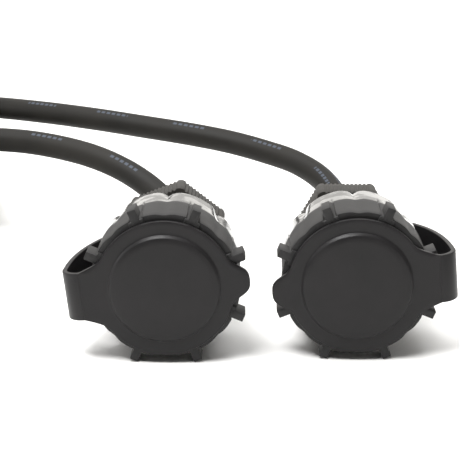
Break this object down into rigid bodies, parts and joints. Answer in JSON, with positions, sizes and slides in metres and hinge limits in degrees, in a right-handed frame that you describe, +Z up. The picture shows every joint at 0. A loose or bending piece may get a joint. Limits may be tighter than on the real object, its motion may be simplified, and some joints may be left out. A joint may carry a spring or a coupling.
{
  "type": "shore power cord",
  "caption": "Heavy round power cord with a sealed locking connector on each end, each closed by a rubber dust cap on a strap.",
  "frame": {"origin": "on the floor, under the middle of the two connectors' footprint", "axes": "+X from the plug to the socket, -Y out of the capped mouths, +Z up"},
  "size_m": [0.5969, 0.3947, 0.0906],
  "materials": {
    "cap_rubber": "satin",
    "ring_plastic": "semi-gloss",
    "housing_plastic": "satin",
    "nut_plastic": "satin",
    "seal_rubber": "matte",
    "insert_plastic": "satin",
    "brass": "bright",
    "steel": "zinc plated",
    "cord_jacket": "satin",
    "wire_black": "satin",
    "wire_white": "satin",
    "wire_green": "satin"
  },
  "bodies": {
    "cord_set": {"plug_shell": "housing_plastic", "plug_ring_circlip": "steel", "plug_front_seal": "seal_rubber", "plug_insert": "insert_plastic", "plug_insert_retainer": "housing_plastic", "plug_contact_line": "brass", "plug_terminal_screw_line": "steel", "plug_conductor_line": "wire_black", "plug_contact_neutral": "brass", "plug_terminal_screw_neutral": "steel", "plug_conductor_neutral": "wire_white", "plug_contact_earth": "brass", "plug_terminal_screw_earth": "steel", "plug_conductor_earth": "wire_green", "plug_jacket_end": "cord_jacket", "plug_grommet": "seal_rubber", "plug_clamp_ring": "housing_plastic", "plug_cap_strap": "cap_rubber", "plug_strap_collar": "cap_rubber", "socket_shell": "housing_plastic", "socket_ring_circlip": "steel", "socket_front_seal": "seal_rubber", "socket_insert": "insert_plastic", "socket_insert_retainer": "housing_plastic", "socket_contact_line": "brass", "socket_terminal_screw_line": "steel", "socket_conductor_line": "wire_black", "socket_contact_neutral": "brass", "socket_terminal_screw_neutral": "steel", "socket_conductor_neutral": "wire_white", "socket_contact_earth": "brass", "socket_terminal_screw_earth": "steel", "socket_conductor_earth": "wire_green", "socket_jacket_end": "cord_jacket", "socket_grommet": "seal_rubber", "socket_clamp_ring": "housing_plastic", "socket_cap_strap": "cap_rubber", "socket_strap_collar": "cap_rubber", "cord_run_plug": "cord_jacket", "cord_run_socket": "cord_jacket", "cord_coil": "cord_jacket"},
    "plug_coupling_ring_body": {"plug_coupling_ring": "ring_plastic"},
    "plug_slip_washer_body": {"plug_slip_washer": "steel"},
    "plug_clamp_nut_body": {"plug_clamp_nut": "nut_plastic"},
    "plug_dust_cap_body": {"plug_dust_cap": "cap_rubber"},
    "socket_coupling_ring_body": {"socket_coupling_ring": "ring_plastic"},
    "socket_slip_washer_body": {"socket_slip_washer": "steel"},
    "socket_clamp_nut_body": {"socket_clamp_nut": "nut_plastic"},
    "socket_dust_cap_body": {"socket_dust_cap": "cap_rubber"}
  },
  "joints": [
    {"name": "plug_ring_turn", "type": "hinge", "parent": "cord_set", "child": "plug_coupling_ring_body", "pos_m": [-0.054, -0.0293, 0.04528], "axis": [0, 1, 0], "continuous": true},
    {"name": "plug_cap_swing", "type": "hinge", "parent": "cord_set", "child": "plug_dust_cap_body", "pos_m": [-0.10732, -0.05603, 0.0393], "axis": [0, 0, -1], "range_deg": [0, 110], "deforming": ["plug_cap_strap"]},
    {"name": "plug_washer_back_off", "type": "slide", "parent": "cord_set", "child": "plug_slip_washer_body", "axis": [0, 1, 0], "range_m": [0, 0.0041]},
    {"name": "plug_nut_turn", "type": "hinge", "parent": "plug_slip_washer_body", "child": "plug_clamp_nut_body", "pos_m": [-0.054, 0.0447, 0.04528], "axis": [0, 1, 0], "range_deg": [0, 720]},
    {"name": "socket_ring_turn", "type": "hinge", "parent": "cord_set", "child": "socket_coupling_ring_body", "pos_m": [0.054, -0.0233, 0.04528], "axis": [0, 1, 0], "continuous": true},
    {"name": "socket_cap_swing", "type": "hinge", "parent": "cord_set", "child": "socket_dust_cap_body", "pos_m": [0.1074, -0.05003, 0.05043], "axis": [0, 0, 1], "range_deg": [0, 110], "deforming": ["socket_cap_strap"]},
    {"name": "socket_washer_back_off", "type": "slide", "parent": "cord_set", "child": "socket_slip_washer_body", "axis": [0, 1, 0], "range_m": [0, 0.0041]},
    {"name": "socket_nut_turn", "type": "hinge", "parent": "socket_slip_washer_body", "child": "socket_clamp_nut_body", "pos_m": [0.054, 0.0507, 0.04528], "axis": [0, 1, 0], "range_deg": [0, 720]}
  ],
  "couplings": [
    {"joint": "plug_washer_back_off", "follows": "plug_nut_turn", "m_per_rad": 0.00031831},
    {"joint": "socket_washer_back_off", "follows": "socket_nut_turn", "m_per_rad": 0.00031831}
  ]
}
